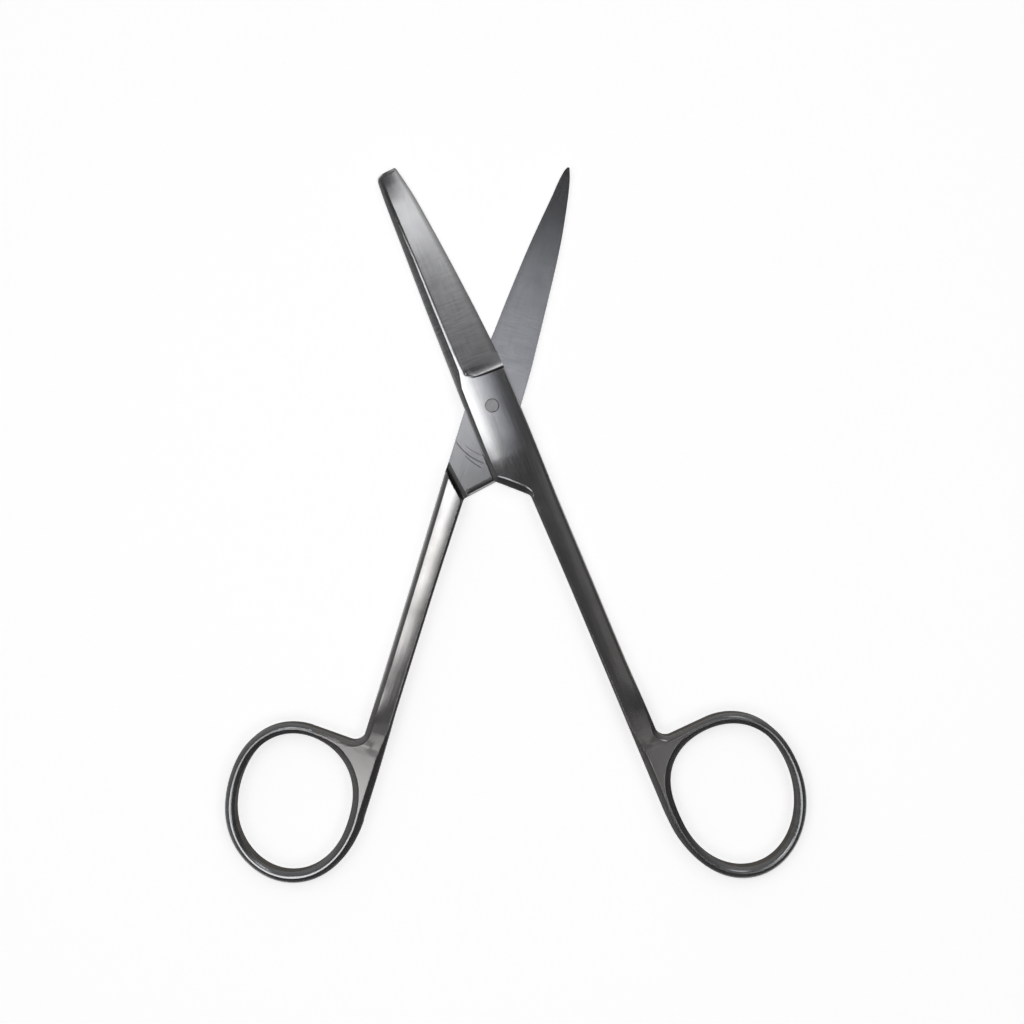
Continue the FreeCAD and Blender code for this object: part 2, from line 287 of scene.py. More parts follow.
@dataclass
class Lever:
    """One forged lever: blade, box half, shank and finger ring in one skin.

    It is drawn in its own frame in millimetres: X towards the cutting edge, Y towards the
    tip, Z out of the outer face, with the pivot axis at the origin and the lap at Z = 0.
    Tables hold (Y, value) pairs in rising order of Y.
    """

    name: str
    body: str
    swing: float
    turned_over: bool

    # Plan: the two long sides, the slanted foot of the box, and the ring.
    spine: Table
    edge: Table
    inner_side: Table
    foot: tuple[Point, Point]
    shoulder: tuple[Point, Point]
    hole: Loop
    outer: Loop
    web_row: float
    tip_corners: tuple[float, float]

    # Heights and rims that differ between the levers.
    crest: Table
    tip_rim: float
    edge_rim: float
    inner_rim: float

    # Corners of the plan.
    foot_radii: tuple[float, float] = (1.5, 1.2)
    notch_radius: float = 2.1
    web_dip: float = 0.35

    # Outer face: curvature and middle of the crown, then the step at the ground face's foot.
    crown: Table = ((-60.6, 0.0), (-54.0, 0.045), (-22.0, 0.05), (-13.0, 0.032), (8.0, 0.032))
    crown_middle: Table = ((-20.0, 0.4), (-11.0, 0.0))
    step: float = 5.95
    step_corner: Point = (-2.0, 5.95)
    step_slant: Point = (-4.5, 16.0)
    step_round: float = 1.5
    cove: float = 0.15
    cove_lead: float = 1.0
    cove_lead_slope: float = 0.17
    draft: float = 20.0
    land: float = 0.25
    edge_thickness: float = 0.08

    # Inner face: the lap, the hollow blade and the shoulder.
    lap_gap: float = 0.01
    lap_bevel: float = 0.035
    hollow: float = 0.12
    hollow_start: float = 8.0
    hollow_end: float = 1.5
    shoulder_cove: float = 1.1
    foot_play: float = 0.12

    # Rims: widths, steepness at the wall, and how sharply they curve from the face.
    blade_edge_rim: float = 0.16
    widest_edge_rim: float = 1.05
    box_edge_rim: float = 0.6
    box_rim: float = 0.95
    slant_rim: float = 1.5
    slant_crest: float = 2.0
    widest_ring_rim: float = 1.2
    side_slope: float = 0.78
    side_crest: float = 1.4
    side_corner: float = 0.09
    ring_slope: float = 0.78
    ring_crest: float = 1.35
    ring_plateau: float = 0.26

    # How finely the skin is drawn.
    across_count: int = 26
    wall_count: int = 3
    ring_count: int = 260
    mouth_count: int = 90
    web_counts: tuple[int, int] = (40, 46)
    guard: float = 0.02

    left: np.ndarray = field(init=False)
    right: np.ndarray = field(init=False)

    # Plan

    def draw_sides(self) -> None:
        """Draws the outline's two sides from the tip's end line down to the ring."""
        end_left = np.array([curve_through(self.spine, np.array([self.spine[-1][0]]))[0], self.spine[-1][0]])
        end_right = np.array([curve_through(self.edge, np.array([self.edge[-1][0]]))[0], self.edge[-1][0]])
        middle = (end_left + end_right) / 2
        foot_out, foot_in = (np.array(p) for p in self.foot)
        spine = np.vstack([side_line(self.spine), foot_out])
        slant = np.linspace(foot_out, foot_in, 12)
        inner = side_line(self.inner_side)
        ring_left = self.outer.at(np.array([self.outer.left()]))[0]
        inner = inner[inner[:, 1] > ring_left[1] + 0.3]
        inner[0] = foot_in
        inner = np.vstack([inner, ring_left])
        radii = [self.tip_corners[0], *self.foot_radii]
        self.left = rounded([np.linspace(middle, end_left, 6), spine, slant, inner], radii)
        ring_top = self.outer.at(np.array([self.outer.top()]))[0]
        notch = np.array([self.edge[0][1], ring_top[1] - self.web_dip])
        edge = np.vstack([side_line(self.edge), notch])
        web = np.linspace(notch, ring_top, 12)
        radii = [self.tip_corners[1], self.notch_radius]
        self.right = rounded([np.linspace(middle, end_right, 6), edge, web], radii)

    def where_y(self, points: np.ndarray, y: float) -> float:
        """Length along a side to a station Y."""
        return float(np.interp(-y, -points[:, 1], lengths(points)))

    def past_shoulder(self, points: np.ndarray) -> np.ndarray:
        """Distance of points from the shoulder line, positive towards the tip."""
        right, left = (np.array(p) for p in self.shoulder)
        run = (right - left) / np.linalg.norm(right - left)
        return (points - left) @ np.array([-run[1], run[0]])

    def past_foot(self, points: np.ndarray) -> np.ndarray:
        """Distance of points in from the slanted foot of the box."""
        outer, inner = (np.array(p) for p in self.foot)
        run = (inner - outer) / np.linalg.norm(inner - outer)
        return (points - outer) @ np.array([-run[1], run[0]])

    def where_shoulder(self, points: np.ndarray, past: float) -> float:
        """Length along a side to the line that runs beside the shoulder at a distance."""
        s = np.linspace(0, lengths(points)[-1], 6000)
        return float(np.interp(-past, -self.past_shoulder(place_on(points, s)), s))

    def rows(self) -> tuple[np.ndarray, np.ndarray]:
        """Pairs lengths along the two sides, so that each pair is a row across the lever.

        Rows lie close at the tip, the step and the shoulder. Those by the shoulder are slanted.

        Returns:
            The lengths along the spine side, then those along the edge side.
        """
        left, right = self.left, self.right
        tip = self.spine[-1][0]
        keys = [(self.corner_start(left), self.corner_start(right), 0.0)]
        level = ((tip - 2.2, 0.22), (self.step + 1.6, 0.5), (self.step + 0.3, 0.1),
                 (self.step - 0.75, 0.055), (self.step - 2.2, 0.25), (-6.0, 0.5))
        slanted = ((self.shoulder_cove + self.guard, 0.33), (-0.75, 0.06), (-1.2, 0.2))
        shank = ((-26.0, 0.5), (-34.0, 0.5), (self.web_row, 0.5))
        for stations, where in ((level, self.where_y), (slanted, self.where_shoulder), (shank, self.where_y)):
            for station, spacing in stations:
                keys.append((where(left, station), where(right, station), spacing))
        rows = [np.array([keys[0][:2]])]
        for a, b in zip(keys, keys[1:]):
            count = max(1, math.ceil(max(b[0] - a[0], b[1] - a[1]) / b[2]))
            share = np.linspace(0, 1, count + 1)[1:, None]
            rows.append(np.array(a[:2]) + (np.array(b[:2]) - np.array(a[:2])) * share)
        both = np.vstack(rows)
        return both[:, 0], both[:, 1]

    def corner_start(self, points: np.ndarray) -> float:
        """Length along a side at which its tip corner begins to turn."""
        s = lengths(points)
        turned = np.abs(np.diff(np.unwrap(np.arctan2(*np.diff(points, axis=0).T[::-1]))))
        return float(s[1 + int(np.argmax(turned > math.radians(1.5)))]) - 1e-3

    # Heights

    def outer_height(self, plan: np.ndarray) -> np.ndarray:
        """Height of the crowned outer face over the whole lever, before it is ground."""
        x, y = plan[..., 0], plan[..., 1]
        middle = curve_through(self.crown_middle, y)
        return curve_through(self.crest, y) - curve_through(self.crown, y) * (x - middle) ** 2 / 2

    def ground_height(self, plan: np.ndarray) -> np.ndarray:
        """Height of the face ground from the ridge down to the cutting edge."""
        x, y = plan[..., 0], plan[..., 1]
        spine = curve_through(self.spine, y)
        edge = curve_through(self.edge, y)
        ridge = spine + self.rim_width(Side.SPINE, y)
        crest = curve_through(self.crest, y)
        return crest - (crest - self.land) * (x - ridge) / np.maximum(edge - ridge, 0.02)

    def past_step(self, plan: np.ndarray) -> np.ndarray:
        """Distance past the step at the foot of the ground face, with its rounded corner."""
        x, y = plan[..., 0], plan[..., 1]
        corner = np.array(self.step_corner)
        slant = np.array(self.step_slant) / math.hypot(*self.step_slant)
        up = y - self.step
        aside = (x - corner[0]) * slant[1] - (y - corner[1]) * slant[0]
        r = self.step_round
        inside = (up < r) & (aside < r)
        return np.where(inside, r - np.hypot(r - up, r - aside), np.minimum(up, aside))

    def covered(self, past: np.ndarray, radius: float, lead: float = 0.0,
                lead_slope: float = 0.0) -> np.ndarray:
        """Height of a cove and the drafted wall behind it, over the floor that it stands on.

        Args:
            past: Distance from the foot of the wall.
            radius: Radius of the cove.
            lead: Length over which the floor sweeps up to the cove.
            lead_slope: Slope that the floor has reached at the cove.

        Returns:
            The height at each distance.
        """
        steep, gentle = math.radians(90 - self.draft), math.atan(lead_slope)
        reach = radius * (math.sin(steep) - math.sin(gentle))
        sine = math.sin(steep) - np.clip(past, 0.0, reach) / radius
        rise = radius * (math.cos(gentle) - np.sqrt(1 - sine**2))
        remaining = np.clip(lead - np.maximum(past - reach, 0.0), 0.0, lead)
        rise += lead_slope * remaining**2 / (2 * max(lead, 1e-6))
        return rise + np.maximum(-past, 0.0) * math.tan(steep)

    def top_height(self, plan: np.ndarray, fall: np.ndarray) -> np.ndarray:
        """Height of the finished outer face.

        Args:
            plan: Points in the lever's plan.
            fall: How far the rim's rounding has fallen at each point.

        Returns:
            The height of each point over the lap.
        """
        face = self.outer_height(plan) - fall
        rise = self.covered(self.past_step(plan), self.cove, self.cove_lead, self.cove_lead_slope)
        ground = self.ground_height(plan) + rise
        return np.maximum(np.minimum(face, ground), self.edge_thickness)

    def inner_height(self, plan: np.ndarray, fall: np.ndarray) -> np.ndarray:
        """Height of the inner face: the lap and the hollow blade, then the full shank.

        The foot's inner edge is eased, so that it clears the cove of the other lever's shoulder.

        Args:
            plan: Points in the lever's plan.
            fall: How far the rim's rounding has fallen at each point.

        Returns:
            The height of each point over the lap.
        """
        length = self.spine[-1][0] - self.hollow_end - self.hollow_start
        rise = np.clip((plan[..., 1] - self.hollow_start) / length, 0, 1)
        lap = self.lap_gap + self.hollow * 4 * rise * (1 - rise)
        eased = self.covered(np.maximum(self.past_foot(plan), 0.0), self.shoulder_cove + self.foot_play)
        lap = lap + eased
        past = self.past_shoulder(plan)
        face = self.outer_height(plan) - fall
        wall = self.covered(past, self.shoulder_cove) - self.lap_gap
        return np.where(past > self.shoulder_cove, lap, -np.minimum(face, wall))

    # Rims

    def rim_width(self, side: Side, y: np.ndarray) -> np.ndarray:
        """Width of the rounding between a side and the outer face, at a station Y."""
        tip = self.spine[-1][0]
        width = curve_through(self.edge, y) - curve_through(self.spine, y)
        blade = curve_through(((self.step - 1.0, 0.0), (self.step + 2.0, 1.0)), y)
        if side is Side.EDGE:
            box = curve_through(((-60.0, self.edge_rim), (-20.0, self.edge_rim), (0.0, self.box_edge_rim)), y)
            ground = np.minimum(self.blade_edge_rim * width, self.widest_edge_rim)
            return box * (1 - blade) + blade * ground
        share = curve_through(((30.0, 0.17), (40.0, 0.135), (tip, 0.13)), y)
        stations = (-18.2, -16.6, -14.4, -12.0)
        widths = (self.inner_rim, self.slant_rim, self.slant_rim, self.box_rim)
        box = curve_through(tuple(zip(stations, widths)), y)
        return box * (1 - blade) + blade * np.maximum(share * width, self.tip_rim)

    def rims(self, outline: Outline, wall: np.ndarray) -> Rim:
        """The rounding at each point of the outer outline.

        Args:
            outline: The outline, whose ring and tip have rims of their own.
            wall: Distance from each point to the hole of the ring.

        Returns:
            The rim, with one value a point.
        """
        at = np.arange(len(outline.plan))
        is_tip = at >= outline.tip_start
        is_edge = (at >= outline.ring_end) & ~is_tip
        y = outline.plan[:, 1]
        ring = curve_through(((-self.web_row, 0.0), (-self.web_row + 7.0, 1.0)), -y)
        blade = curve_through(((self.step, 0.0), (self.step + 3.0, 1.0)), y)
        keep = np.where(is_edge, 1 - blade, 1.0)
        width = np.where(is_edge, self.rim_width(Side.EDGE, y), self.rim_width(Side.SPINE, y))
        width = width * (1 - ring) + self.ring_rim(wall) * ring
        slope = self.side_slope * keep * (1 - ring) + self.ring_slope * ring
        crests = (self.side_crest, self.slant_crest, self.slant_crest, self.side_crest)
        crest = curve_through(tuple(zip((-18.2, -16.6, -13.6, -12.0), crests)), y)
        crest = np.where(is_edge, self.side_crest, crest) * (1 - ring) + self.ring_crest * ring
        width = np.where(is_tip, self.tip_rim, width)
        slope = np.where(is_tip, self.side_slope, slope)
        corner = np.where(is_tip, 0.3 * self.tip_rim, np.minimum(self.side_corner * keep, 0.3 * width))
        return Rim(width, slope, crest, corner)

    def ring_rim(self, wall: np.ndarray) -> np.ndarray:
        """Width of the ring's rounding where its wall has a width."""
        return np.minimum(self.widest_ring_rim, (wall - self.ring_plateau) / 2)

    def hole_rims(self, wall: np.ndarray) -> Rim:
        """The rounding round the hole of the ring, where its wall has a width."""
        level = (np.full(len(wall), value) for value in (self.ring_slope, self.ring_crest, self.side_corner))
        return Rim(self.ring_rim(wall), *level)

    # Skin

    def sweep(self, plan: np.ndarray, normals: np.ndarray, rim: Rim) -> np.ndarray:
        """Sweeps the rounded rim round an outline, from the inner face to the outer one.

        Args:
            plan: Points of the outline.
            normals: Their normals, into the metal.
            rim: The rounding at each point.

        Returns:
            Points of the sweep, one row a point of the outline.
        """
        inset, fall = rim.offsets()
        guard = inset[:, -1:] + self.guard
        inset, fall = np.hstack([inset, guard]), np.hstack([fall, fall[:, -1:]])
        spots = plan[:, None, :] + normals[:, None, :] * inset[:, :, None]
        top = self.top_height(spots, fall)
        low = self.inner_height(spots, fall)
        share = np.linspace(0, 1, self.wall_count + 1)[1:-1]
        wall_z = low[:, :1] + (top[:, :1] - low[:, :1]) * share
        wall_z = np.dstack([np.repeat(plan[:, None, :], len(share), axis=1), wall_z])
        low[:, 0] += np.where(self.past_shoulder(plan) > self.shoulder_cove, self.lap_bevel, 0.0)
        return np.concatenate([np.dstack([spots, low])[:, ::-1], wall_z, np.dstack([spots, top])], axis=1)

    def outline(self, ring: np.ndarray) -> Outline:
        """Joins the two sides, the ring and the tip's end line into one closed outline."""
        sides, webs = [], []
        for line, at, count in zip((self.left, self.right), self.rows(), self.web_counts):
            sides.append(place_on(line, at))
            webs.append(place_on(line, np.linspace(at[-1], lengths(line)[-1], count)[1:-1]))
        spine, edge = sides
        across = np.linspace(0, 1, self.across_count + 1)[1:-1, None]
        tip = edge[0] + (spine[0] - edge[0]) * across
        runs = [spine, webs[0], ring, webs[1][::-1], edge[::-1], tip]
        starts = np.cumsum([len(run) for run in runs[:-1]])
        return Outline(np.vstack(runs), *(int(start) for start in starts))

    def build(self) -> bpy.types.Object:
        """Models the lever's skin and returns its object, placed in the row frame."""
        self.draw_sides()
        left, top = self.outer.left(), self.outer.top()
        around = np.linspace(left, top + 2 * math.pi, self.ring_count)
        mouth = np.linspace(top, left, self.mouth_count)[1:-1] + 2 * math.pi
        outline = self.outline(self.outer.at(around))
        hole = self.hole.at(np.concatenate([around, mouth]))
        walls = np.linalg.norm(outline.plan[:, None, :] - hole[None, :, :], axis=2)
        outer_sweep = self.sweep(outline.plan, inward(outline.plan), self.rims(outline, walls.min(axis=1)))
        hole_sweep = self.sweep(hole, -inward(hole), self.hole_rims(walls.min(axis=0)))

        bm = bmesh.new()
        outer_grid = add_grid(bm, outer_sweep, flip=False)
        hole_grid = add_grid(bm, hole_sweep, flip=True)
        for column, height, flip in ((-1, self.top_height, False), (0, self.inner_height, True)):
            rim = [row[column] for row in outer_grid]
            mouth_rim = [row[column] for row in hole_grid]
            self.cover(bm, outline, rim, mouth_rim, height, flip)
        return self.finish_skin(bm)

    def cover(self, bm: bmesh.types.BMesh, outline: Outline, rim: list[Vertex], mouth: list[Vertex],
              height: Callable[[np.ndarray, np.ndarray], np.ndarray], flip: bool) -> None:
        """Closes one face of the lever inside its rims.

        Args:
            bm: The mesh being drawn.
            outline: The outline that the rim follows.
            rim: The vertices where the outer rim ends on this face.
            mouth: Those where the rim of the ring's hole ends.
            height: Height of the face at points of the plan.
            flip: Whether to turn the faces over.
        """
        spine = rim[:outline.web_start]
        edge = rim[outline.edge_start:outline.tip_start][::-1]
        share = np.linspace(0, 1, self.across_count + 1)[1:-1, None]
        lanes = [[spine[0], *rim[outline.tip_start:][::-1], edge[0]]]
        for a, b in zip(spine[1:], edge[1:]):
            spots = np.array(a.co[:2]) + (np.array(b.co[:2]) - np.array(a.co[:2])) * share
            z = height(spots, np.zeros(len(spots)))
            lanes.append([a, *(bm.verts.new((*p, h)) for p, h in zip(spots, z)), b])
        add_faces(bm, lanes, flip)
        ring = rim[outline.ring_start:outline.ring_end]
        add_faces(bm, [list(pair) for pair in zip(ring, mouth)], flip)
        web = [
            *lanes[-1][::-1], *rim[outline.web_start:outline.ring_start], ring[0],
            mouth[0], *mouth[len(ring):][::-1], mouth[len(ring) - 1],
            ring[-1], *rim[outline.ring_end:outline.edge_start],
        ]
        add_flat(bm, web, flip)

    def finish_skin(self, bm: bmesh.types.BMesh) -> bpy.types.Object:
        """Cleans the skin, notes its grain, and turns it into place in the row frame."""
        bmesh.ops.remove_doubles(bm, verts=bm.verts, dist=1e-5)
        bmesh.ops.recalc_face_normals(bm, faces=bm.faces)
        mesh = bpy.data.meshes.new(self.name)
        bm.to_mesh(mesh)
        bm.free()
        piece = bpy.data.objects.new(self.name, mesh)
        bpy.context.scene.collection.objects.link(piece)
        self.note_grain(mesh)
        turn = Matrix.Rotation(math.radians(self.swing), 4, "Z")
        if self.turned_over:
            turn = turn @ Matrix.Rotation(math.pi, 4, "Y")
        mesh.transform(turn @ Matrix.Scale(MM, 4))
        mesh.update()
        return piece

    def note_grain(self, mesh: bpy.types.Mesh) -> None:
        """Stores what the finish follows: each point's place along and across the lever, and
        how upright its surface is, from 0 on the faces to 1 on the side walls.
        """
        co = np.zeros(len(mesh.vertices) * 3)
        mesh.vertices.foreach_get("co", co)
        co = co.reshape(-1, 3)
        centre = np.array(self.outer.centre)
        spoke = co[:, :2] - centre
        radius = np.linalg.norm(spoke, axis=1)
        angle = np.arctan2(spoke[:, 0], -spoke[:, 1])
        middle = (np.mean(self.outer.radii) + np.mean(self.hole.radii)) / 2
        on_ring = np.clip((self.web_row - 2.0 - co[:, 1]) / 4.0, 0, 1)
        along = co[:, 1] * (1 - on_ring) + on_ring * angle * middle
        across = co[:, 0] * (1 - on_ring) + on_ring * (radius - middle)
        normals = np.zeros(len(mesh.vertices) * 3)
        mesh.vertices.foreach_get("normal", normals)
        side = np.clip((WALL_TILT - np.abs(normals.reshape(-1, 3)[:, 2])) / WALL_FADE, 0, 1)
        for name, values in ((ALONG, along), (ACROSS, across), (SIDE, side)):
            mesh.attributes.new(name, "FLOAT", "POINT").data.foreach_set("value", values.astype(np.float32))
        layer = mesh.uv_layers.new(name=GRAIN_UV)
        corners = np.zeros(len(mesh.loops), np.int32)
        mesh.loops.foreach_get("vertex_index", corners)
        uv = np.column_stack([along, across])[corners] / GRAIN_SPAN
        layer.data.foreach_set("uv", uv.astype(np.float32).ravel())


def add_grid(bm: bmesh.types.BMesh, points: np.ndarray, flip: bool) -> list[list[Vertex]]:
    """Adds a grid of points, whose last row joins the first, and the faces between them.

    Args:
        bm: The mesh being drawn.
        points: One row of places for each line of the grid.
        flip: Whether to turn the faces over.

    Returns:
        The new vertices, row by row.
    """
    grid = [[bm.verts.new(p) for p in row] for row in points]
    add_faces(bm, grid + grid[:1], flip)
    return grid


def add_faces(bm: bmesh.types.BMesh, grid: list[list[Vertex]], flip: bool) -> None:
    """Adds the four-sided faces between rows of vertices."""
    for low, high in zip(grid, grid[1:]):
        for i in range(len(low) - 1):
            corners = (low[i], high[i], high[i + 1], low[i + 1])
            bm.faces.new(corners[::-1] if flip else corners)


def add_flat(bm: bmesh.types.BMesh, loop: list[Vertex], flip: bool) -> None:
    """Fills a level closed outline with triangles.

    Args:
        bm: The mesh being drawn.
        loop: The outline's vertices in order.
        flip: Whether to turn the faces over.
    """
    flat = [Vector((v.co.x, v.co.y, 0.0)) for v in loop]
    for corners in tessellate_polygon([flat]):
        trio = [loop[i] for i in corners]
        sides = [trio[1].co - trio[0].co, trio[2].co - trio[0].co]
        upward = sides[0].x * sides[1].y - sides[0].y * sides[1].x > 0
        bm.faces.new(trio if upward != flip else trio[::-1])


def select_only(piece: bpy.types.Object) -> None:
    """Makes a piece the only one selected, and the active one."""
    bpy.ops.object.select_all(action="DESELECT")
    piece.select_set(True)
    bpy.context.view_layer.objects.active = piece


def subtract(piece: bpy.types.Object, tool: bpy.types.Object) -> None:
    """Cuts a tool out of a piece and deletes the tool."""
    select_only(piece)
    cut = piece.modifiers.new("cut", "BOOLEAN")
    cut.operation = "DIFFERENCE"
    cut.solver = "EXACT"
    cut.object = tool
    bpy.ops.object.modifier_apply(modifier=cut.name)
    bpy.data.objects.remove(tool)


def bore(piece: bpy.types.Object, radius: float, low: float, high: float, sides: int = 96) -> None:
    """Bores a round hole on the pivot axis through a piece.

    Args:
        piece: The piece to bore.
        radius: Radius of the hole, in millimetres.
        low: Height at which the hole starts, in millimetres.
        high: Height at which it ends.
        sides: How many sides the drill has.
    """
    bpy.ops.object.select_all(action="DESELECT")
    bpy.ops.mesh.primitive_cylinder_add(
        vertices=sides, radius=radius * MM, depth=(high - low) * MM, location=(0, 0, (low + high) / 2 * MM))
    subtract(piece, bpy.context.object)


BLUNT = Lever(
    name="blunt_lever_skin",
    body="front_lever",
    swing=22.6,
    turned_over=False,
    spine=((-12.6, -5.04), (-5.0, -4.96), (3.2, -4.82), (12.0, -4.61), (20.0, -4.44), (30.0, -4.15),
           (42.0, -3.78), (46.35, -3.5)),
    edge=((-66.4, 4.88), (-59.8, 4.82), (-50.0, 4.68), (-38.0, 4.68), (-20.4, 4.62), (-2.9, 4.76),
          (6.4, 4.68), (13.1, 4.3), (23.3, 3.47), (33.5, 2.44), (39.8, 1.7), (41.8, 1.4), (44.0, 0.98),
          (46.7, 0.4)),
    inner_side=((-85.0, 0.56), (-58.0, 0.5), (-38.0, 0.46), (-17.62, 0.22)),
    foot=((-5.04, -12.6), (0.22, -17.62)),
    shoulder=((5.2, -12.56), (0.19, -17.45)),
    hole=Loop(
        centre=(13.5, -81.7),
        radii=(10.97, 11.79, 12.77, 12.8, 12.63, 11.62, 10.61, 11.26, 12.65, 13.33, 12.4, 11.24)),
    outer=Loop(
        centre=(13.5, -81.7),
        radii=(12.66, 13.55, 14.68, 14.6, 13.91, 13.29, 12.87, 13.22, 14.68, 15.29, 14.18, 13.03)),
    web_row=-62.6,
    tip_corners=(1.25, 0.4),
    crest=((-66.0, 2.15), (-62.6, 2.15), (-54.0, 1.99), (-44.0, 1.79), (-30.0, 1.62), (-20.0, 1.64),
           (-17.0, 1.71), (-13.0, 1.92), (-9.0, 2.07), (-5.5, 2.1), (8.0, 2.1), (24.0, 1.92), (34.0, 1.75),
           (40.0, 1.54), (43.5, 1.26), (46.8, 0.8)),
    tip_rim=0.3,
    edge_rim=0.6,
    inner_rim=0.35,
)

SHARP = Lever(
    name="sharp_lever_skin",
    body="rear_lever",
    swing=-17.3,
    turned_over=True,
    spine=((-12.6, -5.04), (2.7, -4.92), (8.0, -4.8), (12.0, -4.57), (21.4, -3.97), (30.7, -3.25),
           (39.8, -1.98), (43.4, -1.24), (45.5, -0.55)),
    edge=((-64.8, 4.33), (-57.3, 4.33), (-38.3, 4.39), (-15.6, 4.54), (-2.3, 4.57), (4.0, 4.5), (13.2, 3.73),
          (19.1, 3.27), (28.9, 2.37), (38.8, 1.08), (44.8, 0.18), (45.5, -0.2)),
    inner_side=((-85.0, -0.02), (-72.0, -0.07), (-63.0, 0.05), (-58.0, 0.18), (-38.0, 0.16), (-17.6, -0.06)),
    foot=((-5.04, -12.6), (-0.06, -17.6)),
    shoulder=((4.99, -12.81), (0.02, -17.59)),
    hole=Loop(
        centre=(13.0, -79.1),
        radii=(10.38, 11.23, 12.34, 12.32, 11.76, 10.99, 10.44, 11.15, 12.3, 12.41, 11.53, 10.65)),
    outer=Loop(
        centre=(13.0, -79.1),
        radii=(12.26, 13.31, 14.3, 14.03, 13.54, 13.34, 13.12, 13.5, 14.4, 14.3, 13.37, 12.51)),
    web_row=-60.8,
    tip_corners=(0.03, 0.03),
    crest=((-66.0, 2.15), (-60.7, 2.15), (-50.5, 1.98), (-40.0, 1.81), (-33.0, 1.8), (-25.0, 1.9),
           (-16.0, 2.1), (8.0, 2.1), (24.0, 1.9), (36.0, 1.5), (42.0, 1.0), (45.5, 0.55)),
    tip_rim=0.03,
    edge_rim=1.0,
    inner_rim=0.45,
)


def shade(piece: bpy.types.Object) -> None:
    """Smooths a piece's shading except over its crisp edges."""
    select_only(piece)
    bpy.ops.object.shade_smooth_by_angle(angle=SMOOTH_ANGLE)


@dataclass(frozen=True)
class Graph:
    """The nodes of a material or the world, with short ways to add the ones needed here."""

    tree: bpy.types.NodeTree

    def surface(self, values: dict[str, Socket | float | Tone]) -> None:
        """Feeds or sets inputs of a material's surface shader, by their names."""
        for name, value in values.items():
            self.join(value, self.tree.nodes["Principled BSDF"].inputs[name])

    def node(self, kind: str) -> bpy.types.Node:
        """Adds a node of a kind."""
        return self.tree.nodes.new(f"ShaderNode{kind}")

    def join(self, value: Socket | float | Tone, socket: Socket) -> None:
        """Feeds a socket from another one, or sets it to a number or a colour."""
        if isinstance(value, bpy.types.NodeSocket):
            self.tree.links.new(value, socket)
        elif isinstance(value, tuple):
            socket.default_value = (*value, 1.0)[:len(socket.default_value)]
        else:
            socket.default_value = value

    def maths(self, operation: str, *values: Socket | float) -> Socket:
        """Adds a sum of one to three values."""
        node = self.node("Math")
        node.operation = operation
        for value, socket in zip(values, node.inputs):
            self.join(value, socket)
        return node.outputs[0]

    def ramp(self, value: Socket, start: float, end: float, low: float = 0.0, high: float = 1.0,
             eased: bool = True) -> Socket:
        """Maps a value from one range to another, held level past its ends.

        Args:
            value: The value to map.
            start: Where the range begins.
            end: Where it ends.
            low: The result at its beginning.
            high: The result at its end.
            eased: Whether the ramp eases in and out.

        Returns:
            The mapped value.
        """
        node = self.node("MapRange")
        node.interpolation_type = "SMOOTHSTEP" if eased else "LINEAR"
        for name, number in (("From Min", start), ("From Max", end), ("To Min", low), ("To Max", high)):
            node.inputs[name].default_value = number
        self.join(value, node.inputs["Value"])
        return node.outputs[0]

    def note(self, name: str) -> Socket:
        """Reads one of the values stored with the mesh's points."""
        node = self.node("Attribute")
        node.attribute_name = name
        return node.outputs["Fac"]

    def noise(self, x: Socket | float, y: Socket | float, z: Socket | float, detail: float) -> Socket:
        """Adds noise whose cells are one unit wide, from 0 to 1."""
        place = self.node("CombineXYZ")
        for value, socket in zip((x, y, z), place.inputs):
            self.join(value, socket)
        node = self.node("TexNoise")
        node.inputs["Scale"].default_value = 1.0
        node.inputs["Detail"].default_value = detail
        self.join(place.outputs[0], node.inputs["Vector"])
        return node.outputs["Fac"]

    def axes(self, kind: str) -> list[Socket]:
        """Returns x, y and z of a kind of texture coordinate."""
        split = self.node("SeparateXYZ")
        self.join(self.node("TexCoord").outputs[kind], split.inputs[0])
        return list(split.outputs)

    def place(self) -> list[Socket]:
        """Returns the object's own x, y and z in millimetres."""
        return [self.maths("DIVIDE", axis, MM) for axis in self.axes("Object")]

    def from_pivot(self, x: Socket, y: Socket) -> Socket:
        """Returns the distance from the pivot axis."""
        squares = self.maths("ADD", self.maths("MULTIPLY", x, x), self.maths("MULTIPLY", y, y))
        return self.maths("SQRT", squares)

    def bump(self, height: Socket, depth: float) -> None:
        """Raises the shader's surface by a height times a depth in millimetres."""
        node = self.node("Bump")
        node.inputs["Strength"].default_value = 1.0
        node.inputs["Distance"].default_value = depth * MM
        self.join(height, node.inputs["Height"])
        self.surface({"Normal": node.outputs["Normal"]})

    def scale(self, colour: Socket | Tone, factor: Socket) -> Socket:
        """Returns a colour times a factor."""
        node = self.node("VectorMath")
        node.operation = "SCALE"
        self.join(colour, node.inputs[0])
        self.join(factor, node.inputs["Scale"])
        return node.outputs[0]

    def mix(self, share: Socket, colour: Socket | Tone, other: Socket | Tone) -> Socket:
        """Mixes two colours."""
        node = self.node("Mix")
        node.data_type = "RGBA"
        self.join(share, node.inputs["Factor"])
        self.join(colour, node.inputs[6])
        self.join(other, node.inputs[7])
        return node.outputs[2]


def new_material(name: str) -> tuple[bpy.types.Material, Graph]:
    """Makes a material, and returns it with its nodes."""
    material = bpy.data.materials.new(name)
    material.use_nodes = True
    return material, Graph(material.node_tree)


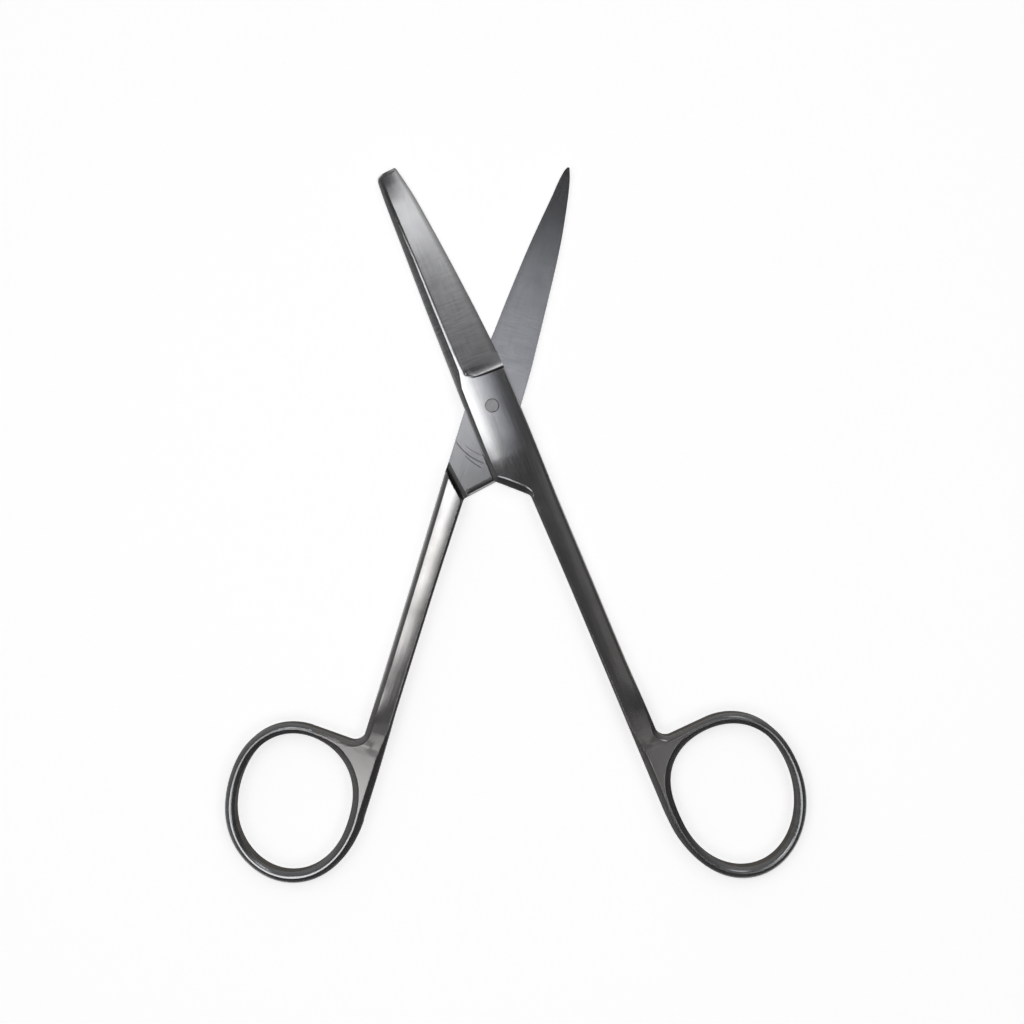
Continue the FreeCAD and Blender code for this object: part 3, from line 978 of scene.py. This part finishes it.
@dataclass(frozen=True)
class Scratch:
    """An arc scratched into the lap about the pivot: angles in degrees, radii in millimetres."""

    start: float
    end: float
    start_radius: float
    end_radius: float
    width: float = 0.16
    core: float = 0.3
    fade: float = 0.12

    def mark(self, graph: Graph, radius: Socket, angle: Socket) -> Socket:
        """Adds the nodes that are 1 on the scratch and 0 off it."""
        share = graph.maths("DIVIDE", graph.maths("SUBTRACT", angle, self.start), self.end - self.start)
        line = graph.maths("MULTIPLY_ADD", share, self.end_radius - self.start_radius, self.start_radius)
        off = graph.maths("ABSOLUTE", graph.maths("SUBTRACT", radius, line))
        near = graph.ramp(off, self.width, self.core * self.width)
        ends = graph.ramp(graph.maths("ABSOLUTE", graph.maths("SUBTRACT", share, 0.5)), 0.5, 0.5 - self.fade)
        return graph.maths("MULTIPLY", near, ends)


@dataclass(frozen=True)
class Grain:
    """Noise over a lever, stretched by its own number of cells a millimetre each way."""

    along: float
    across: float
    seed: float
    detail: float

    def read(self, graph: Graph, along: Socket, across: Socket) -> Socket:
        """Adds its nodes, which give values round 0."""
        x, y = graph.maths("MULTIPLY", along, self.along), graph.maths("MULTIPLY", across, self.across)
        return graph.maths("SUBTRACT", graph.noise(x, y, self.seed, self.detail), 0.5)


@dataclass(frozen=True)
class SatinSteel:
    """Brushed stainless steel, whose fine lines follow the lever.

    The blades also carry fine ground lines across, and the laps the arcs that the levers have
    scratched into each other. The side walls are left dull, and their colour and reflection tint
    are darkened as painted shade. Each grain lightens or darkens the tone by its share, and the
    lines roughen the surface by theirs. They spread a highlight across themselves, so the
    anisotropy has a quarter turn from the tangent.
    """

    name: str
    tone: Tone
    warm_tone: Tone
    # Painted shade: the side walls' dark colour and darker reflection tint.
    side_shade_tone: Tone
    side_shade_tint: Tone
    roughness: float
    side_roughness: float
    anisotropy: float
    brushed_depth: float
    scratches: tuple[Scratch, ...]
    streaks: Grain = Grain(along=0.12, across=3.4, seed=0.0, detail=3.0)
    cloud: Grain = Grain(along=0.22, across=0.3, seed=7.0, detail=2.0)
    ground: Grain = Grain(along=2.6, across=0.2, seed=3.0, detail=2.0)
    streak_tone: float = 0.36
    cloud_tone: float = 0.3
    ground_tone: float = 0.6
    wear_tone: float = -0.62
    streak_roughness: float = 0.07
    ground_roughness: float = 0.10
    ground_start: tuple[float, float] = (5.6, 7.0)
    ground_fade: tuple[float, float] = (34.0, 14.0)
    ground_least: float = 0.25
    warm_range: tuple[float, float] = (-8.0, -30.0)
    lap_depth: float = 0.12
    quarter_turn: float = 0.25

    def build(self) -> bpy.types.Material:
        """Makes the material."""
        material, graph = new_material(self.name)
        tangent = graph.node("Tangent")
        tangent.direction_type = "UV_MAP"
        tangent.uv_map = GRAIN_UV

        along, across, side = graph.note(ALONG), graph.note(ACROSS), graph.note(SIDE)
        brushing = self.streaks.read(graph, along, across)
        cloud = self.cloud.read(graph, along, across)
        fading = graph.ramp(along, *self.ground_fade, low=self.ground_least)
        on_blade = graph.maths("MULTIPLY", graph.ramp(along, *self.ground_start), fading)
        lines = graph.maths("MULTIPLY", self.ground.read(graph, along, across), on_blade)

        light = graph.maths("MULTIPLY_ADD", brushing, self.streak_tone, 1.0)
        light = graph.maths("MULTIPLY_ADD", lines, self.ground_tone, light)
        light = graph.maths("MULTIPLY_ADD", cloud, self.cloud_tone, light)
        unworn = graph.maths("MULTIPLY_ADD", self.worn(graph), self.wear_tone, 1.0)
        light = graph.maths("MULTIPLY", light, unworn)
        tone = graph.mix(graph.ramp(along, *self.warm_range), self.tone, self.warm_tone)
        # Painted shade: the side walls take a dark colour in place of the dark room they would mirror.
        tone = graph.mix(side, tone, self.side_shade_tone)

        rough = graph.maths("MULTIPLY_ADD", brushing, self.streak_roughness, self.roughness)
        rough = graph.maths("MULTIPLY_ADD", lines, self.ground_roughness, rough)
        rough = graph.maths("MULTIPLY_ADD", side, self.side_roughness - self.roughness, rough)
        graph.surface({
            "Metallic": 1.0,
            "Base Color": graph.scale(tone, light),
            # Painted shade: the side walls' reflection is tinted darker.
            "Specular Tint": graph.mix(side, (1.0, 1.0, 1.0), self.side_shade_tint),
            "Roughness": rough,
            "Anisotropic": self.anisotropy,
            "Anisotropic Rotation": self.quarter_turn,
            "Tangent": tangent.outputs["Tangent"],
        })
        graph.bump(graph.maths("ADD", brushing, lines), self.brushed_depth)
        return material

    def worn(self, graph: Graph) -> Socket:
        """Adds the arcs scratched into the laps, 1 on them and 0 elsewhere."""
        x, y, z = graph.place()
        radius = graph.from_pivot(x, y)
        angle = graph.maths("DEGREES", graph.maths("ARCTAN2", y, x))
        marks = [scratch.mark(graph, radius, angle) for scratch in self.scratches]
        total = marks[0]
        for mark in marks[1:]:
            total = graph.maths("MAXIMUM", total, mark)
        on_lap = graph.ramp(graph.maths("ABSOLUTE", z), self.lap_depth, self.lap_depth / 2)
        return graph.maths("MULTIPLY", total, on_lap)


LEVER_STEEL = SatinSteel(
    name="lever_steel",
    tone=(0.575, 0.58, 0.59),
    warm_tone=(0.583, 0.572, 0.562),
    # Painted shade: the side walls' dark colour and darker reflection tint.
    side_shade_tone=(0.16, 0.15, 0.14),
    side_shade_tint=(0.25, 0.25, 0.25),
    roughness=0.19,
    side_roughness=0.4,
    anisotropy=0.5,
    brushed_depth=0.0012,
    scratches=(
        Scratch(-138.0, -97.0, 9.1, 10.5),
        Scratch(-119.0, -99.0, 10.2, 11.4, 0.13),
        Scratch(-126.0, -92.0, 8.6, 9.3, 0.08),
    ),
)


@dataclass(frozen=True)
class TurnedSteel:
    """Turned stainless steel of the screw: faint rings from the lathe under small stains."""

    name: str
    tone: Tone
    roughness: float
    rings_per_mm: float
    ring_depth: float
    ring_tone: float = 0.35
    stain_tone: float = 0.3
    stain_roughness: float = 0.12

    def build(self) -> bpy.types.Material:
        """Makes the material."""
        material, graph = new_material(self.name)
        x, y, z = graph.place()
        turned = graph.maths("MULTIPLY", graph.from_pivot(x, y), self.rings_per_mm)
        rings = graph.maths("SUBTRACT", graph.noise(turned, z, 5.0, 2.0), 0.5)
        stains = graph.maths("SUBTRACT", graph.noise(x, y, z, 3.0), 0.5)
        light = graph.maths("MULTIPLY_ADD", rings, self.ring_tone, 1.0)
        light = graph.maths("MULTIPLY_ADD", stains, self.stain_tone, light)
        rough = graph.maths("MULTIPLY_ADD", stains, self.stain_roughness, self.roughness)
        graph.surface({"Metallic": 1.0, "Base Color": graph.scale(self.tone, light), "Roughness": rough})
        graph.bump(rings, self.ring_depth)
        return material


SCREW_STEEL = TurnedSteel(
    name="screw_steel",
    tone=(0.58, 0.58, 0.58),
    roughness=0.28,
    rings_per_mm=9.0,
    ring_depth=0.002,
)


@dataclass(frozen=True)
class Softbox:
    """A rectangular lamp that faces straight down over the object.

    Middle and size are in millimetres, and glow is what a mirror under it would show.
    """

    name: str
    middle: tuple[float, float, float]
    size: tuple[float, float]
    glow: float
    tint: Tone = (1.0, 1.0, 1.0)
    in_metal: bool = True

    def hang(self) -> None:
        """Adds the lamp."""
        lamp = bpy.data.lights.new(self.name, "AREA")
        lamp.shape = "RECTANGLE"
        lamp.size, lamp.size_y = (side * MM for side in self.size)
        lamp.energy = self.glow * math.pi * lamp.size * lamp.size_y
        lamp.color = self.tint
        box = bpy.data.objects.new(self.name, lamp)
        box.location = [side * MM for side in self.middle]
        box.visible_camera = False
        box.visible_glossy = self.in_metal
        bpy.context.scene.collection.objects.link(box)


@dataclass(frozen=True)
class Studio:
    """The pale floor, the soft lights and the camera over the object.

    The softboxes stand where the metal mirrors them to the camera. Together the far boxes make
    a light that fades towards the camera, which is what the blunt blade's ground face mirrors.
    """

    softboxes: tuple[Softbox, ...] = (
        Softbox("left_box", (-95, -10, 340), (90, 46), 2.6),
        Softbox("ridge_box", (-88, 42, 340), (34, 56), 2.6),
        Softbox("upper_box", (-46, 24, 340), (48, 26), 1.5),
        Softbox("far_box_1", (140, 163, 344), (120, 146), 0.20),
        Softbox("far_box_2", (140, 186, 343), (120, 92), 0.12),
        Softbox("far_box_3", (140, 197, 342), (120, 62), 0.24),
        Softbox("far_box_4", (118, 205, 341), (104, 38), 0.60),
        Softbox("far_box_5", (118, 207, 340), (104, 18), 1.20),
        Softbox("low_box", (-82, -147, 340), (74, 66), 1.7),
        Softbox("near_box", (0, 43, 345), (58, 70), 0.62, (0.95, 0.97, 1.05)),
        Softbox("near_veil", (-12, -6, 345), (26, 26), 0.30, (0.95, 0.97, 1.05)),
        Softbox("right_box", (130, -20, 345), (52, 120), 0.15),
        Softbox("web_box", (72, -112, 345), (56, 40), 0.14),
        Softbox("ring_box", (152, -132, 345), (90, 90), 1.3),
        Softbox("floor_box", (0, 100, 1600), (2200, 2200), 0.70, in_metal=False),
    )
    floor_size: float = 12.0
    floor_tone: float = 0.94
    floor_glow: float = 0.585
    near_wall: float = 0.045
    far_wall: float = 0.20
    left_wall: float = 0.10
    skirting: float = 0.75
    lens: float = 62.0
    eye: tuple[float, float, float] = (3.6, -19.2, 320.0)

    def build(self, low: float) -> None:
        """Adds the floor at a height, then the lights and the camera."""
        bpy.ops.object.select_all(action="DESELECT")
        bpy.ops.mesh.primitive_plane_add(size=self.floor_size, location=(0, 0, low))
        floor = bpy.context.object
        floor.name = "floor"
        floor.data.materials.append(self.pale_floor())
        floor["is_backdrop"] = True
        bpy.context.scene.view_settings.view_transform = "Standard"
        self.light_world()
        for softbox in self.softboxes:
            softbox.hang()
        data = bpy.data.cameras.new("camera")
        data.lens = self.lens
        camera = bpy.data.objects.new("camera", data)
        camera.location = [side * MM for side in self.eye]
        bpy.context.scene.collection.objects.link(camera)
        bpy.context.scene.camera = camera

    def pale_floor(self) -> bpy.types.Material:
        """Makes the floor's matt white, which looks pale without more light on the object."""
        material, graph = new_material("pale_floor")
        path = graph.node("LightPath").outputs
        seen = graph.maths("MAXIMUM", path["Is Camera Ray"], path["Is Glossy Ray"])
        seen = graph.maths("MAXIMUM", seen, path["Is Transmission Ray"])
        graph.surface({
            "Base Color": (self.floor_tone, self.floor_tone, self.floor_tone),
            "Roughness": 1.0,
            "Specular IOR Level": 0.0,
            "Emission Color": (1.0, 1.0, 1.0),
            "Emission Strength": graph.maths("MULTIPLY", seen, self.floor_glow),
        })
        return material

    def light_world(self) -> None:
        """Gives the room its dim walls, brighter at the far side, and a pale skirting."""
        world = bpy.data.worlds.new("studio")
        bpy.context.scene.world = world
        world.use_nodes = True
        graph = Graph(world.node_tree)
        x, y, z = graph.axes("Generated")
        walls = graph.maths(
            "ADD", graph.ramp(y, 0.25, 1.0, self.near_wall, self.far_wall, eased=False),
            graph.ramp(x, -0.3, -1.0, 0.0, self.left_wall, eased=False))
        skirting = graph.ramp(z, 0.05, 0.015, 0.0, self.skirting, eased=False)
        background = world.node_tree.nodes["Background"].inputs
        graph.join((1.0, 1.0, 1.0), background["Color"])
        graph.join(graph.maths("ADD", walls, skirting), background["Strength"])


@dataclass(frozen=True)
class PivotScrew:
    """The slotted screw that the levers turn on. Sizes are in millimetres."""

    head_radius: float = 2.4
    head_depth: float = 0.9
    journal_radius: float = 1.6
    thread_radius: float = 1.24
    head_top: float = -1.15
    end: float = 2.095
    end_bevel: float = 0.1
    end_margin: float = 0.03
    head_bevel: float = 0.12
    slot_width: float = 0.7
    slot_depth: float = 0.5
    slot_turn: float = 35.0
    play: float = 0.03
    seat_play: float = 0.05
    seat_gap: float = 0.02
    sides: int = 96

    @property
    def low(self) -> float:
        """Height of the head's outer face."""
        return self.head_top - self.head_depth

    def bore_for(self, piece: bpy.types.Object, seated: bool) -> None:
        """Bores a lever for the screw: the journal and the seat of the head, or the thread."""
        if seated:
            bore(piece, self.journal_radius + self.play, -3.0, 1.0)
            bore(piece, self.head_radius + self.seat_play, -3.0, self.head_top + self.seat_gap)
        else:
            bore(piece, self.thread_radius + self.play, -1.0, 3.0)

    def build(self) -> bpy.types.Object:
        """Models the screw from its head up and returns its object."""
        bpy.ops.object.select_all(action="DESELECT")
        bpy.ops.mesh.primitive_cylinder_add(
            vertices=self.sides, radius=self.head_radius * MM, depth=self.head_depth * MM,
            location=(0, 0, (self.head_top - self.head_depth / 2) * MM))
        screw = bpy.context.object
        screw.name = "pivot_screw_turned"
        bpy.ops.object.transform_apply(location=True, rotation=False, scale=False)
        self.step_up(screw, self.head_radius - self.journal_radius, -self.head_top)
        self.step_up(screw, self.journal_radius - self.thread_radius, self.end)
        self.soften(screw, self.end, self.end_bevel)
        self.step_up(screw, self.end_margin)
        self.soften(screw, self.low, self.head_bevel)
        self.cut_slot(screw)
        return screw

    def edit(self, screw: bpy.types.Object, kind: str) -> bmesh.types.BMesh:
        """Opens the screw for editing faces or edges with none selected, and returns its mesh."""
        select_only(screw)
        bpy.ops.object.mode_set(mode="EDIT")
        bpy.ops.mesh.select_mode(type=kind)
        bpy.ops.mesh.select_all(action="DESELECT")
        return bmesh.from_edit_mesh(screw.data)

    def step_up(self, screw: bpy.types.Object, inset: float, rise: float = 0.0) -> None:
        """Steps the top face in, and draws it up by a rise.

        Without a rise it leaves a narrow margin, which keeps the face itself flat in shading.
        """
        mesh = self.edit(screw, "FACE")
        top = max(mesh.faces, key=lambda face: (face.calc_center_median().z, face.calc_area()))
        top.select = True
        bmesh.update_edit_mesh(screw.data)
        bpy.ops.mesh.inset(thickness=inset * MM, use_even_offset=True)
        if rise:
            bpy.ops.mesh.extrude_region_move(TRANSFORM_OT_translate={"value": (0, 0, rise * MM)})
        bpy.ops.object.mode_set(mode="OBJECT")

    def soften(self, screw: bpy.types.Object, height: float, width: float) -> None:
        """Bevels the round edges at a height."""
        mesh = self.edit(screw, "EDGE")
        for edge in mesh.edges:
            edge.select = all(abs(v.co.z - height * MM) < 1e-6 for v in edge.verts)
        bmesh.update_edit_mesh(screw.data)
        bpy.ops.mesh.bevel(offset=width * MM, segments=3)
        bpy.ops.object.mode_set(mode="OBJECT")

    def cut_slot(self, screw: bpy.types.Object) -> None:
        """Cuts the driver's slot across the head."""
        bpy.ops.object.select_all(action="DESELECT")
        bpy.ops.mesh.primitive_cube_add(
            size=1.0, location=(0, 0, self.low * MM), rotation=(0, 0, math.radians(self.slot_turn)),
            scale=(self.head_radius * 3 * MM, self.slot_width * MM, self.slot_depth * 2 * MM))
        subtract(screw, bpy.context.object)


def main() -> None:
    """Builds every piece in order and reports each one."""
    logging.basicConfig(level=logging.INFO, format="%(message)s")
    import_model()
    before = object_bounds()
    steel = LEVER_STEEL.build()
    pivot = PivotScrew()
    for lever, node in ((BLUNT, "blunt_lever"), (SHARP, "sharp_lever")):
        piece = lever.build()
        pivot.bore_for(piece, seated=lever.turned_over)
        shade(piece)
        piece.data.materials.append(steel)
        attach(piece, lever.body)
        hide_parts(node)
        LOG.info("%s: %d faces", piece.name, len(piece.data.polygons))
    screw = pivot.build()
    shade(screw)
    screw.data.materials.append(SCREW_STEEL.build())
    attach(screw, "front_lever")
    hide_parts("pivot_screw")
    LOG.info("%s: %d faces", screw.name, len(screw.data.polygons))
    Studio().build(before[0].z)


if __name__ == "__main__":
    main()
